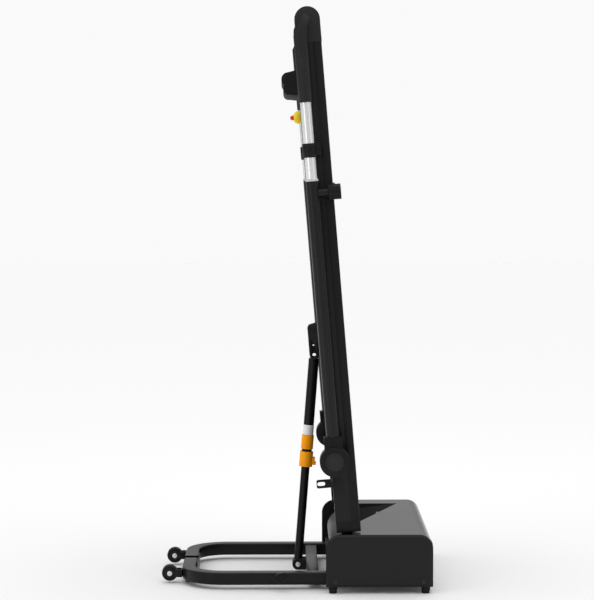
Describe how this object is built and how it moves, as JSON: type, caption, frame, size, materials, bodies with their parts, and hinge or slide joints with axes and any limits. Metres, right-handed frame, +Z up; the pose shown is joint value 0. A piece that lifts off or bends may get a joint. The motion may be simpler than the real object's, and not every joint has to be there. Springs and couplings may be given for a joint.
{
  "type": "folding treadmill",
  "caption": "Home treadmill that folds upright on a U-shaped base, with a telescopic strut, folding height-adjustable handrails and a low motor hood.",
  "frame": {"origin": "on the floor, in the middle of the object's length and width in the stowed pose", "axes": "+Z up, +X from the transport wheels towards the back of the motor hood, +Y towards the left of a person on the belt"},
  "size_m": [0.6966, 0.65, 1.4725],
  "materials": {
    "frame_paint": "semi-gloss black powder coat",
    "hood_plastic": "fine-grained dark moulding",
    "hood_gloss": "satin charcoal moulding",
    "trim_plastic": "matt black moulding",
    "cap_plastic": "satin dark grey moulding",
    "silver_tube": "bright satin",
    "bushing_plastic": "light grey moulding",
    "zinc": "zinc plated",
    "dark_zinc": "black oxide",
    "rubber": "matt",
    "belt_pvc": "fine diamond texture",
    "board_wood": "black-faced fibreboard",
    "foam": "dense closed-cell foam",
    "wheel_tyre": "hard black rubber",
    "steel_roller": "turned",
    "motor_case": "black lacquer",
    "pcb": "solder mask",
    "switch_red": "gloss",
    "lens": "smoked",
    "stop_yellow": "gloss",
    "stop_red": "gloss",
    "collar_orange": "satin"
  },
  "bodies": {
    "base": {"base_frame_right": "frame_paint", "base_frame_left": "frame_paint", "cross_member": "frame_paint", "hood_chassis": "dark_zinc", "fold_pins": "zinc", "wheel_forks": "frame_paint", "axle_pins": "zinc", "side_panel_right": "hood_plastic", "side_panel_left": "hood_plastic", "hood_cover": "hood_gloss", "motor_shroud": "trim_plastic", "panel_screws": "dark_zinc", "feet": "rubber", "motor": "motor_case", "control_board": "pcb", "power_inlet": "trim_plastic", "display_window": "lens"},
    "motor_rotor": {"motor_pulley": "steel_roller"},
    "power_switch": {"power_switch": "switch_red"},
    "index_bolt": {"index_bolt": "trim_plastic"},
    "wheel_right": {"wheel_right": "wheel_tyre"},
    "wheel_left": {"wheel_left": "wheel_tyre"},
    "deck": {"side_frame_right": "frame_paint", "side_frame_left": "frame_paint", "foot_rails": "trim_plastic", "front_caps": "trim_plastic", "rear_caps": "cap_plastic", "running_board": "board_wood", "running_belt": "belt_pvc", "deck_cushions": "rubber", "deck_cross_members": "frame_paint", "rear_stand": "rubber", "hinge_arms": "frame_paint", "strut_bracket": "frame_paint", "latch_bracket": "frame_paint", "drive_belt": "rubber", "handrail_pivots": "zinc"},
    "front_roller": {"front_roller": "steel_roller"},
    "rear_roller": {"rear_roller": "steel_roller"},
    "handrail_right": {"socket_right": "trim_plastic", "lower_tube_right": "frame_paint", "bushing_right": "bushing_plastic"},
    "lock_knob_right": {"lock_knob_right": "trim_plastic"},
    "post_right": {"inner_tube_right": "silver_tube", "clip_right": "trim_plastic", "grip_right": "foam"},
    "handrail_left": {"socket_left": "trim_plastic", "lower_tube_left": "frame_paint", "bushing_left": "bushing_plastic"},
    "lock_knob_left": {"lock_knob_left": "trim_plastic"},
    "post_left": {"inner_tube_left": "silver_tube", "clip_left": "trim_plastic", "grip_left": "foam", "e_stop_housing": "stop_yellow"},
    "e_stop_button": {"e_stop_button": "stop_red"},
    "strut_lower": {"strut_lower_tube": "frame_paint", "gas_rod": "zinc"},
    "strut_upper": {"gas_cylinder": "motor_case", "strut_upper_tube": "frame_paint"},
    "release_collar": {"release_collar": "collar_orange"}
  },
  "joints": [
    {"name": "deck_fold", "type": "hinge", "parent": "base", "child": "deck", "pos_m": [0.13225, 0, 0.0935], "axis": [0, -1, 0], "range_deg": [0, 86.4]},
    {"name": "strut_swing", "type": "hinge", "parent": "base", "child": "strut_lower", "pos_m": [0.00465, 0, 0.0255], "axis": [0, -1, 0], "range_deg": [0, 92.47]},
    {"name": "strut_slide", "type": "slide", "parent": "strut_lower", "child": "strut_upper", "axis": [0.0783, 0, 0.9969], "range_m": [-0.1937, 0]},
    {"name": "collar_release", "type": "slide", "parent": "strut_upper", "child": "release_collar", "axis": [0.0783, 0, 0.9969], "range_m": [0, 0.006], "stiffness_N_per_m": 600, "springref_m": -0.004},
    {"name": "index_bolt_push", "type": "slide", "parent": "base", "child": "index_bolt", "axis": [0, 1, 0], "range_m": [0, 0.012]},
    {"name": "wheel_spin_right", "type": "hinge", "parent": "base", "child": "wheel_right", "pos_m": [-0.32775, -0.13, 0.026], "axis": [0, 1, 0], "continuous": true},
    {"name": "wheel_spin_left", "type": "hinge", "parent": "base", "child": "wheel_left", "pos_m": [-0.32775, 0.13, 0.026], "axis": [0, 1, 0], "continuous": true},
    {"name": "motor_spin", "type": "hinge", "parent": "base", "child": "motor_rotor", "pos_m": [0.13225, 0, 0.0935], "axis": [0, 1, 0], "continuous": true},
    {"name": "front_roller_spin", "type": "hinge", "parent": "deck", "child": "front_roller", "pos_m": [0.12979, 0, 0.18761], "axis": [0, 1, 0], "continuous": true},
    {"name": "rear_roller_spin", "type": "hinge", "parent": "deck", "child": "rear_roller", "pos_m": [0.02963, 0, 1.43258], "axis": [0, 1, 0], "continuous": true},
    {"name": "power_switch_rock", "type": "hinge", "parent": "base", "child": "power_switch", "pos_m": [0.33925, 0, 0.097], "axis": [0, 1, 0], "range_deg": [0, 12]},
    {"name": "handrail_fold_right", "type": "hinge", "parent": "deck", "child": "handrail_right", "pos_m": [0.09504, -0.3, 0.3378], "axis": [0, 1, 0], "range_deg": [0, 92]},
    {"name": "post_slide_right", "type": "slide", "parent": "handrail_right", "child": "post_right", "axis": [-0.0802, 0, 0.9968], "range_m": [-0.052, 0.1]},
    {"name": "lock_knob_turn_right", "type": "hinge", "parent": "handrail_right", "child": "lock_knob_right", "pos_m": [0.09098, -0.3, 1.01165], "axis": [0.9968, 0, 0.0802], "range_deg": [0, 360]},
    {"name": "handrail_fold_left", "type": "hinge", "parent": "deck", "child": "handrail_left", "pos_m": [0.09504, 0.3, 0.3378], "axis": [0, 1, 0], "range_deg": [0, 92]},
    {"name": "post_slide_left", "type": "slide", "parent": "handrail_left", "child": "post_left", "axis": [-0.0802, 0, 0.9968], "range_m": [-0.052, 0.1]},
    {"name": "lock_knob_turn_left", "type": "hinge", "parent": "handrail_left", "child": "lock_knob_left", "pos_m": [0.09098, 0.3, 1.01165], "axis": [0.9968, 0, 0.0802], "range_deg": [0, 360]},
    {"name": "e_stop_press", "type": "slide", "parent": "post_left", "child": "e_stop_button", "axis": [0.9968, 0, 0.0802], "range_m": [0, 0.003], "stiffness_N_per_m": 800, "springref_m": -0.003}
  ],
  "couplings": [
    {"joint": "strut_swing", "follows": "deck_fold", "ratio": 1.0668},
    {"joint": "strut_slide", "follows": "deck_fold", "m_per_rad": -0.12779},
    {"joint": "front_roller_spin", "follows": "motor_spin", "ratio": 0.63636},
    {"joint": "rear_roller_spin", "follows": "motor_spin", "ratio": 0.63636}
  ]
}
